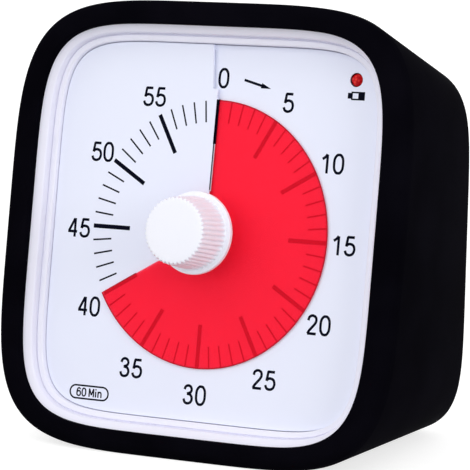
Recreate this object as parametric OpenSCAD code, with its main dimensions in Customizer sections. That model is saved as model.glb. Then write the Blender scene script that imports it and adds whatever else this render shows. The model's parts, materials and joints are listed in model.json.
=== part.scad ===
// Visual countdown timer: a red disc shows the minutes left through a slit in a white dial.
// Millimetres. World frame: X right, Y to the back, Z up from the table.
// The face leans back by the same angle as the taper of the underside, so it stands on that.

/* [Case] */
// Angle that the face leans back
face_lean = 9.8; // [8:0.1:12]
// Half the width of the case at the front
case_half_w = 44; // [42:0.5:46]
// Height of the case's top edge over the dial centre
case_top = 44.9; // [44:0.1:46]
// Depth of the case's bottom edge under the dial centre
case_bottom = 44.1; // [44:0.1:45]
// Taper of the two sides towards the back
side_draft = 8.2; // [8:0.1:9.5]
// Taper of the top towards the back
top_draft = 12; // [10:0.5:12.5]
// Distance from the dial to the back, along the knob's axis
case_depth = 40; // [40:0.5:44]
// Wall of the moulded housing
housing_wall = 1.8; // [1.6:0.1:2]

/* [Sleeve] */
// Thickness of the soft sleeve
sleeve_wall = 1.8; // [1.6:0.1:2]
// How far the sleeve's lip stands in front of the dial
rim_front = 5.6; // [5.4:0.1:5.8]
// Rounding of the sleeve's front edge
rim_round = 3; // [2.5:0.1:3]
// Width of the flange that the sleeve keeps round its open back
back_flange = 5; // [4.6:0.1:5]

/* [Dial window] */
// Half the width of the window in the bezel
window_half_w = 35.4; // [35.2:0.1:35.6]
// Height of the window's top edge over the dial centre
window_top = 37.05; // [36.9:0.05:37.2]
// Depth of the window's bottom edge under the dial centre
window_bottom = 36.55; // [36.4:0.05:36.7]
// Width of the bezel between the window and the sleeve's lip
bezel_w = 3.2; // [3:0.1:3.5]
// Height of the inner bezel ledge in front of the dial
ledge_front = 1.5; // [1.4:0.1:1.6]

/* [Dial and disc] */
// Rise of the dial over one turn, from the right side of the slit to the left
slit_rise = 1; // [0.9:0.05:1.2]
// Thickness of the dial sheet
dial_t = 0.3; // [0.2:0.05:0.3]
// Outer radius of the open part of the slit
slit_r = 26.6; // [26.5:0.1:26.8]
// Radius beyond which the closed step stands further left
step_r = 28.3; // [28:0.1:28.6]
// Radius of the hole in the middle of the dial
dial_hole_r = 7.4; // [7.2:0.1:7.6]
// Radius of the red disc
disc_r = 26.2; // [25.5:0.1:26.5]
// Thickness of the red disc
disc_t = 0.2; // [0.15:0.05:0.25]
// Minutes that the disc shows at rest
minutes_set = 40; // [5:1:55]

/* [Knob] */
// Radius of the flange at the knob's foot
knob_flange_r = 8.2; // [8:0.1:8.4]
// Radius of the ribbed body at its foot
knob_foot_r = 7.2; // [7:0.1:7.4]
// Radius of the ribbed body at its front
knob_nose_r = 6.4; // [6.2:0.1:6.6]
// How far the knob's front stands in front of the dial
knob_front = 13.6; // [13:0.1:14]
// Number of ribs round the knob
knob_ribs = 44; // [36:1:48]
// Radius of the spindle
spindle_r = 2.2; // [2:0.1:2.3]

/* [Movement] */
// Side of the square movement case
movement_side = 48; // [47:0.5:49]
// Distance from the dial to the front of the movement
movement_gap = 4.5; // [4.4:0.1:4.6]
// Thickness of the movement, front plate to rear face
movement_t = 13.5; // [13.5:0.1:13.8]
// Teeth of the centre wheel, which turns once an hour
center_teeth = 64; // [64:4:72]
// Teeth of the third and second wheels
wheel_teeth = 60; // [56:4:60]
// Leaves of every pinion
pinion_teeth = 8; // [8:1:9]

/* [Battery bay] */
// Radius of an AA cell
cell_r = 7.1; // [7:0.05:7.2]
// Length of an AA cell with its nub
cell_l = 50.3; // [50:0.1:50.4]
// Half the width of the battery door
door_half_w = 28; // [27.5:0.1:28.2]
// Thickness of the battery door
door_t = 1.8; // [1.6:0.1:1.9]

/* [Hidden] */

$fn = 64;
gap = 0.05;                 // running clearance of a shaft in its bore
cut = 1;                    // how far a cutter reaches past what it cuts
outline_steps = 80;         // points round the case outlines, a multiple of 8
turn_steps = 120;           // points round the dial and the disc
case_n = 4.65;              // squareness of the case outline at the front
back_n = 6.4;               // squareness of the case outline at the back
lip_n = 5.46;               // squareness of the sleeve's lip
window_n = 6.7;             // squareness of the dial window
seam_z = rim_front - rim_round;     // the case is widest here, in front of the dial
back_round = 4;             // rounding of the sleeve's back edge
sleeve_fit = 0.02;          // the sleeve is this much larger inside than the housings
base_flat = 0.4;            // how much of the bulging underside is flattened
lip_back = rim_front - sleeve_wall; // back of the lip, which holds the housing's shoulder

// The face frame: X right, Y up the dial, Z out of the dial along the knob's axis
face_y = -12.7;
face_z = case_bottom*cos(face_lean) - seam_z*sin(face_lean) - base_flat;
module face_frame() {
    translate([0, face_y, face_z]) rotate([90 - face_lean, 0, 0]) children();
}
// The back of the sleeve and of the rear housing are upright planes
sleeve_back_y = face_y + case_depth*cos(face_lean);
plate_back_y = sleeve_back_y - sleeve_wall;
plate_front_y = plate_back_y - housing_wall;

// ---- Outlines and lofts ----

function signed_pow(v, p) = sign(v)*pow(abs(v), p);

// Rounded square whose squareness is n, as points [x, y, z]
function squircle(half_w, top, bottom, n, z) = [
    for (i = [0:outline_steps - 1])
        let (t = 360*i/outline_steps)
        [half_w*signed_pow(cos(t), 2/n),
         (top - bottom)/2 + (top + bottom)/2*signed_pow(sin(t), 2/n), z]
];

// Case outline in the plane of the rim's seam, drawn in by inset
function front_outline(inset) =
    squircle(case_half_w - inset, case_top - inset, case_bottom - inset, case_n, seam_z);

// Case outline in the upright back plane, on the tapers of the sides, top and underside
function back_outline(inset) = let (
        lean = tan(face_lean),
        run = seam_z + case_depth,
        top = (case_top - run*tan(top_draft) - inset)/(1 - lean*tan(top_draft)),
        bottom = (run*lean - case_bottom + inset)/(1 + lean*lean)
    ) [
        for (i = [0:outline_steps - 1]) let (
            t = 360*i/outline_steps,
            y = (top + bottom)/2 + (top - bottom)/2*signed_pow(sin(t), 2/back_n),
            z = y*lean - case_depth
        ) [(case_half_w - (seam_z - z)*tan(side_draft) - inset)*signed_pow(cos(t), 2/back_n), y, z]
    ];

// Where the case wall, drawn in by inset, meets the plane z = height + y*tan(tilt)
function wall_ring(inset, height, tilt = 0) = let (
        f = front_outline(inset), b = back_outline(inset), k = tan(tilt)
    ) [
        for (i = [0:outline_steps - 1]) let (
            from = f[i][2] - k*f[i][1],
            to = b[i][2] - k*b[i][1]
        ) f[i] + (height - from)/(to - from)*(b[i] - f[i])
    ];

// Bezel outline between the window (share 0) and the sleeve's lip (share 1)
function bezel_ring(share, z) = squircle(
    window_half_w + share*bezel_w, window_top + share*(bezel_w - 0.1),
    window_bottom + share*(bezel_w - 0.2), window_n + share*(lip_n - window_n), z
);

function flatten(lists) = [for (list = lists) for (item = list) item];

// Sides of a loft: ring r joined to ring r + 1
function side_faces(rings, count, closed) = [
    for (r = [0:rings - (closed ? 1 : 2)], i = [0:count - 1]) let (
        j = (i + 1)%count, next = (r + 1)%rings,
        a = r*count + i, b = r*count + j, c = next*count + j, d = next*count + i
    ) each [[a, b, c], [a, c, d]]
];

// Solid through the rings, capped at both ends; a hollow section has its cap in convex parts
module loft(rings, cap = undef) {
    count = len(rings[0]);
    last = (len(rings) - 1)*count;
    parts = is_undef(cap) ? [[for (i = [0:count - 1]) i]] : cap;
    polyhedron(flatten(rings), concat(
        side_faces(len(rings), count, false),
        [for (part = parts) [for (i = [len(part) - 1:-1:0]) part[i]]],
        [for (part = parts) [for (i = part) last + i]]
    ));
}

// Ring-shaped shell: the last ring joins the first one
module shell(rings) {
    polyhedron(flatten(rings), side_faces(len(rings), len(rings[0]), true));
}

// ---- Sleeve and housings ----

module protective_sleeve() {
    rim_steps = [0:30:90];
    color("#16141c") difference() {
        face_frame() shell([
            wall_ring(back_flange, sleeve_wall - case_depth, face_lean),
            wall_ring(back_flange, 0.3 - case_depth, face_lean),
            wall_ring(back_flange - 0.3, -case_depth, face_lean),
            for (a = [90:-30:0])
                wall_ring(back_round*(1 - cos(a)), back_round*(1 - sin(a)) - case_depth, face_lean),
            for (a = rim_steps)
                wall_ring(rim_round*(1 - cos(a)), seam_z + rim_round*sin(a)),
            bezel_ring(1.1, rim_front),
            bezel_ring(1, rim_front - 0.35),
            bezel_ring(1, lip_back),
            wall_ring(sleeve_wall - sleeve_fit, lip_back),
            wall_ring(sleeve_wall - sleeve_fit, sleeve_wall - case_depth, face_lean)
        ]);
        translate([-60, -60, -10]) cube([120, 120, 10]);
    }
}

split_z = -20;              // plane where the two housings meet, behind the dial
shell_inset = sleeve_wall;
cavity_inset = sleeve_wall + housing_wall;
seat_z = -2;                // back of the bezel, which the dial's flange rests on
boss_x = 31;
boss_y = 31;
boss_r = 3.3;
screw_hole_r = 1.1;

module corner_bosses(z_low, z_high) {
    for (x = [-boss_x, boss_x], y = [-boss_y, boss_y])
        translate([x, y, z_low]) cylinder(h = z_high - z_low, r = boss_r);
}

module front_housing() {
    color("#e6e6f4") face_frame() difference() {
        union() {
            shell([
                wall_ring(cavity_inset, split_z),
                wall_ring(shell_inset, split_z),
                wall_ring(shell_inset, lip_back - 1),
                wall_ring(shell_inset + 0.3, lip_back - 0.3),
                wall_ring(shell_inset + 1, lip_back),
                bezel_ring(1.12, lip_back),
                bezel_ring(0.52, ledge_front + 1.05),
                bezel_ring(0.45, ledge_front + 0.8),
                bezel_ring(0.41, ledge_front + 0.15),
                bezel_ring(0.35, ledge_front),
                bezel_ring(0.06, ledge_front),
                bezel_ring(0, ledge_front - 0.2),
                bezel_ring(0, seat_z),
                wall_ring(cavity_inset, seat_z)
            ]);
            intersection() {
                corner_bosses(split_z, seat_z - 2.5);
                loft([wall_ring(shell_inset + 0.5, split_z), wall_ring(shell_inset + 0.5, seat_z)]);
            }
        }
        for (x = [-boss_x, boss_x], y = [-boss_y, boss_y])
            translate([x, y, split_z - cut]) cylinder(h = 12 + cut, r = screw_hole_r);
        dial_screw_places() cylinder(h = 2.6, r = dial_screw_r);
    }
}

// Battery bay and door, in the world frame
bay_half_w = 28.6;
bay_wall = 1.2;
door_gap = 0.3;
pivot_r = 0.9;
pivot_z = 9.4;              // height of the door's hinge
pivot_y = plate_back_y - 1;
door_foot_r = 1;            // rounding of the door's foot about its hinge
bay_depth = 2*cell_r + 0.5;
bay_front_y = pivot_y - door_foot_r - bay_depth;
bay_top_z = pivot_z + 4*cell_r + 1.4;
door_top_z = bay_top_z + 0.4;
cell_y = bay_front_y + cell_r + 0.2;
cell_low_z = pivot_z + cell_r + 0.3;
cell_high_z = cell_low_z + 2*cell_r + 0.5;

// Things above the bay, in the world frame
switch_z = 49;
switch_x = 19;
buzzer_z = 57;
volume_travel = 3.5;
alarm_travel = 4;
slot_h = 3.4;
slider_cap_l = 4;
slider_cap_h = 2.8;
sound_hole_r = 0.8;
sound_ring_r = 3.4;
pcb_back_y = plate_front_y - 4.6;
pcb_t = 1.2;
pcb_half_w = 27;
pcb_low_z = 43;
pcb_high_z = 65;
pcb_posts = [[-23.5, 61.5], [23.5, 61.5], [0, 45.4]];

module back_post(x, z, y_low, y_high, r) {
    translate([x, y_low, z]) rotate([-90, 0, 0]) cylinder(h = y_high - y_low, r = r);
}

module bay_block(grow) {
    translate([-bay_half_w - grow, bay_front_y - grow, pivot_z - door_foot_r - door_gap - grow])
        cube([2*(bay_half_w + grow), plate_back_y - bay_front_y,
              bay_top_z - pivot_z + door_foot_r + door_gap + 2*grow]);
}

module slider_slot(x, half_l) {
    translate([x - half_l, plate_front_y - cut, switch_z - slot_h/2])
        cube([2*half_l, housing_wall + 2*cut, slot_h]);
}

module rear_housing() {
    color("#e6e6f4") difference() {
        union() {
            face_frame() {
                difference() {
                    loft([
                        wall_ring(shell_inset, split_z),
                        wall_ring(shell_inset, sleeve_wall - case_depth + 2.2, face_lean),
                        wall_ring(shell_inset + 0.6, sleeve_wall - case_depth + 0.7, face_lean),
                        wall_ring(shell_inset + 2, sleeve_wall - case_depth, face_lean)
                    ]);
                    loft([
                        wall_ring(cavity_inset, split_z + cut),
                        wall_ring(cavity_inset, cavity_inset - case_depth, face_lean)
                    ]);
                }
                intersection() {
                    corner_bosses(-50, split_z);
                    loft([wall_ring(shell_inset + 0.5, split_z),
                          wall_ring(shell_inset + 0.5, cavity_inset - case_depth - 0.5, face_lean)]);
                }
            }
            intersection() {
                bay_block(bay_wall);
                translate([-50, -50, 0]) cube([100, 50 + plate_back_y - 0.5, 100]);
            }
            for (p = pcb_posts) back_post(p[0], p[1], pcb_back_y, plate_front_y + 0.5, 2);
        }
        bay_block(0);
        // wider mouth that the door lies in, and the bores of its hinge pins
        translate([-door_half_w - door_gap - 1, plate_back_y - door_t - 0.1, pivot_z - door_foot_r - door_gap])
            cube([2*(door_half_w + door_gap + 1), 5, door_top_z + door_gap - pivot_z + door_foot_r + door_gap]);
        translate([-door_half_w - 2.6, pivot_y, pivot_z]) rotate([0, 90, 0])
            cylinder(h = 2*door_half_w + 5.2, r = pivot_r + gap);
        slider_slot(-switch_x, volume_travel + slider_cap_l/2 + 0.4);
        slider_slot(switch_x + alarm_travel/2, alarm_travel/2 + slider_cap_l/2 + 0.4);
        back_post(0, buzzer_z, plate_front_y - cut, plate_back_y + cut, sound_hole_r);
        for (a = [0:60:300]) back_post(
            sound_ring_r*cos(a), buzzer_z + sound_ring_r*sin(a),
            plate_front_y - cut, plate_back_y + cut, sound_hole_r
        );
        for (p = pcb_posts) back_post(p[0], p[1], pcb_back_y - cut, pcb_back_y + 3.5, 0.8);
        // screw wells in the corners, open to the back
        face_frame() for (x = [-boss_x, boss_x], y = [-boss_y, boss_y]) translate([x, y, 0]) {
            translate([0, 0, -60]) cylinder(h = 60 + split_z + cut, r = screw_hole_r + 0.35);
            translate([0, 0, -60]) cylinder(h = 60 + split_z - 4, r = screw_head_r + 0.2);
        }
    }
}

screw_head_r = 2.2;

module housing_screws() {
    color("silver") face_frame() for (x = [-boss_x, boss_x], y = [-boss_y, boss_y])
        translate([x, y, split_z - 4]) rotate([180, 0, 0]) pan_screw(screw_hole_r, 14, screw_head_r, 1.6);
}

// Screw with its shank along -Z from the head's seat, and a cross recess
module pan_screw(shank_r, shank_l, head_r, head_h) {
    difference() {
        union() {
            translate([0, 0, -shank_l]) cylinder(h = shank_l + 0.1, r = shank_r);
            cylinder(h = head_h, r = head_r);
        }
        translate([0, 0, head_h]) for (a = [0, 90]) rotate([0, 0, a])
            cube([head_r*1.2, head_r*0.26, head_h*1.1], center = true);
    }
}

module battery_door() {
    foot_z = pivot_z;
    color("#e6e6f4") difference() {
        union() {
            translate([-door_half_w, plate_back_y - door_t, foot_z])
                cube([2*door_half_w, door_t, door_top_z - foot_z]);
            translate([-door_half_w, pivot_y, foot_z]) rotate([0, 90, 0])
                cylinder(h = 2*door_half_w, r = door_foot_r);
            translate([-door_half_w - 2, pivot_y, foot_z]) rotate([0, 90, 0])
                cylinder(h = 2*door_half_w + 4, r = pivot_r);
            // ribs that stiffen the door between the cells
            for (x = [-18, 0, 18]) translate([x - 0.5, plate_back_y - door_t - 0.4, foot_z + 3])
                cube([1, 1, door_top_z - foot_z - 7]);
        }
        // slits each side of the spring tongue, and its finger notch
        for (x = [-6.4, 5.8]) translate([x, plate_back_y - 3, door_top_z - 9]) cube([0.6, 4, 9 + cut]);
        translate([-4, plate_back_y - 0.7, door_top_z - 2.6]) cube([8, 1, 3]);
    }
}

// ---- Dial and disc ----

// Height of the dial's or the disc's middle surface at an angle clockwise from 12 o'clock
function ramp(angle) = slit_rise*angle/360;

// Distance from the dial's centre to its edge at an angle clockwise from 12 o'clock
dial_fit = 0.12;
function dial_edge(angle, grow, n = window_n) = let (
        s = abs(sin(angle))/(window_half_w - dial_fit + grow),
        c = abs(cos(angle))/((cos(angle) > 0 ? window_top : window_bottom) - dial_fit + grow)
    ) 1/pow(pow(s, n) + pow(c, n), 1/n);

// Closed cross-section [radius, height] turned to an angle clockwise from 12 o'clock
function turned(section, angle) = [for (p = section) [p[0]*sin(angle), p[0]*cos(angle), p[1]]];

flange_back_z = seat_z - 1.2;
flange_n = 5.1;             // squareness of the dial's flange, which the housing goes round
slit_end = 359.5;           // the dial's sheet stops this far round from its start
post_xy = movement_side/2 - 1.5;
led_x = 29.1;
led_y = 31.35;
led_r = 1.4;
dial_screw_r = 0.9;
dial_screw_x = 36.7;
dial_screw_y = 14;

module dial_screw_places() {
    for (x = [-dial_screw_x, dial_screw_x], y = [-dial_screw_y, dial_screw_y])
        translate([x, y, seat_z - 0.01]) children();
}

// Sheet, skirt and flange of the dial in one section, with the sheet at its own height
function dial_section(angle) = let (
        edge = dial_edge(angle, 0), mid = ramp(angle) - slit_rise/2
    ) [
        [dial_hole_r, mid + dial_t/2], [edge, mid + dial_t/2], [edge, seat_z],
        [dial_edge(angle, 2.9, flange_n), seat_z], [dial_edge(angle, 2.9, flange_n), flange_back_z],
        [edge - 1, flange_back_z], [edge - 1, mid - dial_t/2], [dial_hole_r, mid - dial_t/2]
    ];

module dial_plate() {
    step_x = 1.1;           // the closed step beyond the slit stands this far left of it
    low = -slit_rise/2;
    step_l = window_top - dial_fit - step_r + 0.2;
    color("#e8ecff") face_frame() difference() {
        union() {
            difference() {
                loft([for (i = [0:turn_steps]) let (a = slit_end*i/turn_steps)
                    turned(dial_section(a), a)], [[0, 1, 6, 7], [1, 2, 5, 6], [2, 3, 4, 5]]);
                translate([-step_x, step_r, low + dial_t]) cube([step_x + 0.05, 12, 3]);
            }
            // wall that closes the slit's outer end
            translate([-0.8, slit_r, low - dial_t/2 + 0.05])
                cube([0.85, step_r - slit_r - 0.02, slit_rise + dial_t - 0.1]);
            // floor and wall of the closed step, and a tie across the joint in the skirt
            translate([-step_x - 0.7, step_r - 0.25, low - 0.6]) {
                cube([step_x + 1.1, step_l, 0.6]);
                cube([0.65, step_l, 0.6 + slit_rise]);
            }
            translate([-1, window_top - dial_fit - 0.9, flange_back_z + 0.1])
                cube([2, 0.8, low - 0.3 - flange_back_z]);
            // posts that carry the movement
            for (x = [-post_xy, post_xy], y = [-post_xy, post_xy])
                translate([x, y, -movement_gap])
                    cylinder(h = movement_gap + ramp((atan2(x, y) + 360)%360) - slit_rise/2, r = 2.2);
        }
        for (x = [-post_xy, post_xy], y = [-post_xy, post_xy])
            translate([x, y, -movement_gap - cut]) cylinder(h = 2.6 + cut, r = 0.8);
        translate([led_x, led_y, -5]) cylinder(h = 8, r = led_r + gap);
        dial_screw_places() translate([0, 0, -3]) cylinder(h = 4, r = dial_screw_r + 0.2);
    }
}

module dial_screws() {
    color("silver") face_frame() dial_screw_places() translate([0, 0, flange_back_z - seat_z + 0.01])
        rotate([180, 0, 0]) pan_screw(dial_screw_r - 0.05, 3.2, 1.5, 1);
}

disc_end = 6*minutes_set;   // leading edge of the disc, clockwise from 12 o'clock
hub_r = 5.2;

module time_disc() {
    color("#ff283e") face_frame() difference() {
        loft([for (i = [0:turn_steps]) let (
                a = disc_end - 360 + 360*i/turn_steps, mid = ramp(a)
            ) turned([
                [hub_r - 1.2, mid + disc_t/2], [disc_r, mid + disc_t/2],
                [disc_r, mid - disc_t/2], [hub_r - 1.2, mid - disc_t/2]
            ], a)]);
        translate([0, 0, -5]) cylinder(h = 10, r = hub_r);
    }
}

// The hub's rim meets the disc's inner edge all the way round
module disc_hub() {
    color("#ff283e") face_frame() difference() {
        union() {
            translate([0, 0, -2.2]) cylinder(h = 4, r = hub_r);
            translate([0, 0, -2.6]) cylinder(h = 4.9, r = 3.6);
        }
        translate([0, 0, -5]) cylinder(h = 10, r = spindle_r + gap);
    }
}

// ---- Knob and spindle ----

knob_back = 5.3 - 1.2;      // back of the knob's flange

// Cone with round ribs laid along it, inside the revolved outline that rounds its nose
module ribbed_body() {
    foot_z = knob_back + 1;
    length = knob_front - foot_z;
    slope = atan((knob_foot_r - knob_nose_r)/length);
    rib_r = 0.32;
    intersection() {
        union() {
            translate([0, 0, foot_z])
                cylinder(h = length, r1 = knob_foot_r - rib_r, r2 = knob_nose_r - rib_r);
            for (i = [0:knob_ribs - 1]) rotate([0, 0, 360*i/knob_ribs])
                translate([knob_foot_r - rib_r, 0, foot_z - 0.5]) rotate([0, -slope, 0])
                    cylinder(h = length + 0.5, r = rib_r, $fn = 24);
        }
        rotate_extrude() polygon([
            [0, foot_z], [knob_foot_r + 1, foot_z], [knob_foot_r + 1, knob_front - 2],
            [knob_nose_r + 0.1, knob_front - 0.9], [knob_nose_r - 0.35, knob_front - 0.3],
            [knob_nose_r - 0.9, knob_front - 0.08], [2, knob_front], [0, knob_front]
        ]);
    }
}

module knob() {
    color("white") face_frame() difference() {
        union() {
            rotate_extrude() polygon([
                [0, knob_back], [knob_flange_r - 0.3, knob_back], [knob_flange_r, knob_back + 0.3],
                [knob_flange_r, knob_back + 0.9], [knob_flange_r - 0.3, knob_back + 1.2], [0, knob_back + 1.2]
            ]);
            ribbed_body();
            translate([0, 0, knob_back - 1]) cylinder(h = 1.5, r = 3.6);
        }
        translate([0, 0, knob_back - 2]) cylinder(h = 8, r = spindle_r);
    }
}

base_back_z = -movement_gap - 1.6;
cover_back_z = -movement_gap - movement_t;
cover_front_z = cover_back_z + 1.2;
wheel_z = base_back_z - 3;      // rear face of the centre wheel
wheel_t = 0.9;

module spindle() {
    color("silver") face_frame() {
        translate([0, 0, cover_front_z - 0.8])
            cylinder(h = knob_back + 6 - cover_front_z + 0.8, r = spindle_r);
        translate([0, 0, wheel_z + wheel_t + gap]) cylinder(h = 0.6, r = 3.4);
        translate([0, 0, wheel_z - 1.5]) cylinder(h = 0.7, r = 2.9);
    }
}

module low_battery_led() {
    color("red") face_frame() translate([led_x, led_y, 0]) {
        translate([0, 0, -3.4]) cylinder(h = 2.3, r = led_r);
        translate([0, 0, -1.1]) rotate_extrude() intersection() {
            circle(r = led_r);
            square([led_r, led_r]);
        }
        translate([0, 0, -4.2]) cylinder(h = 0.8, r = led_r + 0.25);
        // the two leads run inwards over the screw boss, then back
        for (y = [-0.6, 0.6]) translate([-3.2, y, 0]) {
            translate([0, 0, -3.9]) rotate([0, 90, 0]) cylinder(h = 2.5, r = 0.25, $fn = 16);
            translate([0, 0, -8]) cylinder(h = 4.4, r = 0.27, $fn = 16);
        }
    }
}

// ---- Movement ----

// Wheel with slim trapezoid teeth, one of them centred on the angle
module toothed(teeth, m, h, angle, width = 0.42) {
    pitch = 360/teeth;
    r = m*teeth/2;
    linear_extrude(h) polygon([
        for (i = [0:teeth - 1], c = [
            [-0.5, -1.25], [-width/2 - 0.03, -0.55], [-width*0.24, 0.85],
            [width*0.24, 0.85], [width/2 + 0.03, -0.55]
        ]) let (a = angle + (i + c[0])*pitch) (r + c[1]*m)*[cos(a), sin(a)]
    ]);
}

module_1 = 0.3;             // centre wheel and third pinion
module_2 = 0.25;            // third wheel and second pinion
module_3 = 0.22;            // second wheel and rotor pinion
dir_1 = 200;                // direction from each arbor to the next, in the face frame
dir_2 = 260;
dir_3 = 340;
function polar(r, a) = r*[cos(a), sin(a)];
third_xy = polar(module_1*(center_teeth + pinion_teeth)/2, dir_1);
second_xy = third_xy + polar(module_2*(wheel_teeth + pinion_teeth)/2, dir_2);
rotor_xy = second_xy + polar(module_3*(wheel_teeth + pinion_teeth)/2, dir_3);
arbor_r = 0.45;
pivot_low_z = cover_front_z - 0.7;
pivot_high_z = base_back_z + 0.7;
gap_turn = 180 + 180/pinion_teeth;  // turns a pinion so that a gap faces the wheel that drives it

module arbor(xy) {
    translate([xy[0], xy[1], pivot_low_z])
        cylinder(h = pivot_high_z - pivot_low_z, r = arbor_r, $fn = 24);
}

module arbor_bores() {
    for (xy = [third_xy, second_xy, rotor_xy]) translate([xy[0], xy[1], cover_front_z - 0.8])
        cylinder(h = base_back_z - cover_front_z + 1.6, r = arbor_r + gap, $fn = 24);
}

third_wheel_z = wheel_z - 2.2;
second_wheel_z = third_wheel_z - 1.8;
rotor_z = cover_front_z + 1.8;

module center_wheel() {
    color("white") face_frame() translate([0, 0, wheel_z]) difference() {
        union() {
            toothed(center_teeth, module_1, wheel_t, dir_1);
            translate([0, 0, -0.3]) cylinder(h = wheel_t + 0.3, r = 3.4);
        }
        translate([0, 0, -2]) cylinder(h = 5, r = spindle_r + gap);
        for (a = [0:60:300]) rotate([0, 0, a + 10]) translate([6.2, 0, -1]) cylinder(h = 3, r = 1.5);
    }
}

module clutch_spring() {
    top = wheel_z - 0.3 - 0.02;
    color("gold") face_frame() translate([0, 0, top - 0.3]) difference() {
        union() {
            cylinder(h = 0.3, r = 3.3);
            for (a = [30:120:270]) rotate([0, 0, a]) translate([0, -0.6, 0]) cube([5, 1.2, 0.3]);
        }
        translate([0, 0, -1]) cylinder(h = 3, r = spindle_r);
    }
}

module wheel_and_pinion(xy, wheel_m, wheel_z0, wheel_dir, pinion_m, pinion_dir, pinion_top) {
    arbor(xy);
    translate([xy[0], xy[1], wheel_z0]) difference() {
        toothed(wheel_teeth, wheel_m, wheel_t, wheel_dir);
        for (a = [0:72:288]) rotate([0, 0, a]) translate([wheel_m*wheel_teeth*0.31, 0, -1])
            cylinder(h = 3, r = wheel_m*wheel_teeth*0.1, $fn = 32);
    }
    translate([xy[0], xy[1], wheel_z0]) toothed(pinion_teeth, pinion_m, pinion_top - wheel_z0,
        pinion_dir + gap_turn, 0.36);
}

module third_wheel() {
    color("white") face_frame()
        wheel_and_pinion(third_xy, module_2, third_wheel_z, dir_2, module_1, dir_1, wheel_z + wheel_t + 0.4);
}

module second_wheel() {
    color("white") face_frame() wheel_and_pinion(
        second_xy, module_3, second_wheel_z, dir_3, module_2, dir_2, third_wheel_z + wheel_t + 0.4
    );
}

magnet_r = 2.3;
magnet_h = 1.6;

module rotor() {
    color("dimgray") face_frame() {
        arbor(rotor_xy);
        translate([rotor_xy[0], rotor_xy[1], rotor_z]) cylinder(h = magnet_h, r = magnet_r);
        translate([rotor_xy[0], rotor_xy[1], rotor_z]) toothed(pinion_teeth, module_3,
            second_wheel_z + wheel_t + 0.4 - rotor_z, dir_3 + gap_turn, 0.36);
    }
}

coil_y = rotor_xy[1] - 5.8;
coil_x = rotor_xy[0] + 6;
coil_half_l = 8;
stator_z = rotor_z + 0.4;

// Yoke: a ring round the magnet and a bar through the bobbin, joined by an arm at each end
module stator() {
    arm_w = 2.4;
    left = coil_x - coil_half_l - arm_w - 0.4;
    right = coil_x + coil_half_l + 0.4;
    color("silver") face_frame() difference() {
        translate([0, 0, stator_z]) {
            translate([rotor_xy[0], rotor_xy[1], 0]) cylinder(h = 0.8, r = magnet_r + 1.1);
            translate([left, coil_y - arm_w/2, 0]) cube([right - left + arm_w, arm_w, 0.8]);
            for (x = [left, right]) translate([x, coil_y - arm_w/2, 0])
                cube([arm_w, rotor_xy[1] - coil_y + arm_w, 0.8]);
            translate([rotor_xy[0], rotor_xy[1] - arm_w/2, 0])
                cube([right + arm_w - rotor_xy[0], arm_w, 0.8]);
        }
        translate([rotor_xy[0], rotor_xy[1], stator_z - 1]) cylinder(h = 3, r = magnet_r + 0.4);
    }
}

module coil_bobbin() {
    color("black") face_frame() difference() {
        translate([coil_x - coil_half_l, coil_y, stator_z + 0.4]) rotate([0, 90, 0]) {
            cylinder(h = 2*coil_half_l, r = 1.6);
            cylinder(h = 0.8, r = 2.3);
            translate([0, 0, 2*coil_half_l - 0.8]) cylinder(h = 0.8, r = 2.3);
        }
        translate([coil_x - coil_half_l - 2, coil_y - 1.2, stator_z])
            cube([2*coil_half_l + 4, 2.4, 0.8]);
    }
}

module coil_winding() {
    wound_l = 2*coil_half_l - 1.6;
    color("#b5622d") face_frame()
        translate([coil_x - wound_l/2, coil_y, stator_z + 0.4]) rotate([0, 90, 0]) difference() {
            cylinder(h = wound_l, r = 2.2);
            translate([0, 0, -1]) cylinder(h = wound_l + 2, r = 1.6);
        }
}

module movement_screw_places() {
    for (x = [-post_xy, post_xy], y = [-post_xy, post_xy]) translate([x, y, 0]) children();
}

module movement_base() {
    color("#d9dadf") face_frame() difference() {
        union() {
            translate([-movement_side/2, -movement_side/2, base_back_z])
                cube([movement_side, movement_side, 1.6]);
            movement_screw_places() translate([0, 0, base_back_z]) cylinder(h = 1.6, r = 2.8);
            translate([0, 0, base_back_z]) cylinder(h = 2.4, r = 4);
        }
        translate([0, 0, base_back_z - cut]) cylinder(h = 6, r = spindle_r + gap);
        movement_screw_places() translate([0, 0, base_back_z - cut]) cylinder(h = 6, r = 1);
        arbor_bores();
    }
}

module movement_cover() {
    side = movement_side/2;
    color("#d9dadf") face_frame() difference() {
        translate([-side, -side, cover_back_z]) cube([2*side, 2*side, base_back_z - cover_back_z]);
        translate([1.2 - side, 1.2 - side, cover_front_z]) cube([2*side - 2.4, 2*side - 2.4, 20]);
        // the corners are cut back so that the screws reach the base from behind
        movement_screw_places() translate([0, 0, cover_back_z - cut]) cylinder(h = 20, r = 3.4);
        translate([0, 0, cover_back_z - cut]) cylinder(h = 6, r = spindle_r + gap);
        arbor_bores();
    }
}

module movement_screws() {
    color("silver") face_frame() movement_screw_places() translate([0, 0, base_back_z])
        rotate([180, 0, 0]) pan_screw(0.75, 3.8, 1.6, 1);
}

cam_z = base_back_z - 1.4;

module alarm_cam() {
    color("white") face_frame() translate([0, 0, cam_z]) difference() {
        cylinder(h = 1.1, r = 4.6);
        translate([0, 0, -1]) cylinder(h = 4, r = spindle_r);
        rotate([0, 0, 90]) translate([5.2, 0, -1]) cylinder(h = 4, r = 1.5);
    }
}

module alarm_contact() {
    color("gold") face_frame() for (x = [5.2, 6.6]) translate([x, -9, cam_z])
        cube([0.25, x < 6 ? 12 : 9, 1.1]);
    color("#d9dadf") face_frame() translate([4.8, -11.5, cam_z - 0.2])
        cube([2.6, 3, base_back_z - cam_z + 0.2]);
}

// ---- Circuit board and switches, in the world frame ----

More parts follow.
